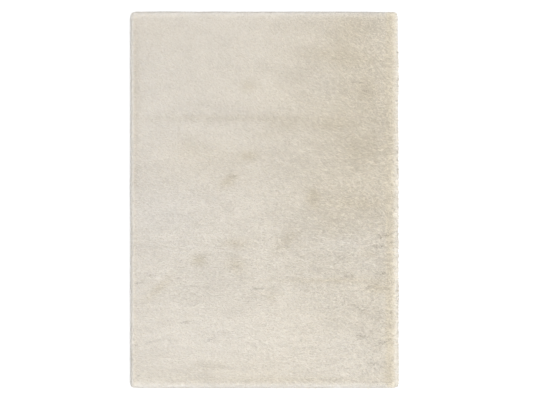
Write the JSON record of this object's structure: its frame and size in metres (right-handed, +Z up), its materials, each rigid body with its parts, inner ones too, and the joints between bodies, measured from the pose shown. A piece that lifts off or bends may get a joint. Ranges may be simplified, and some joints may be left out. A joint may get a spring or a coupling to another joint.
{
  "type": "shag rug",
  "caption": "Plain rectangular shag rug with long, dense, soft cream pile that rolls over its edges, and faint brushed patches in the nap.",
  "frame": {"origin": "on the floor, under the middle of the ground cloth", "axes": "+Z up out of the pile, +Y along the long side, +X along the short side"},
  "size_m": [1.2319, 1.73, 0.036],
  "materials": {
    "pile": "soft matt cream pile, slightly lighter at the tips",
    "ground_cloth": "matt natural woven ground cloth"
  },
  "bodies": {
    "root": {"rug": "pile"}
  },
  "joints": []
}
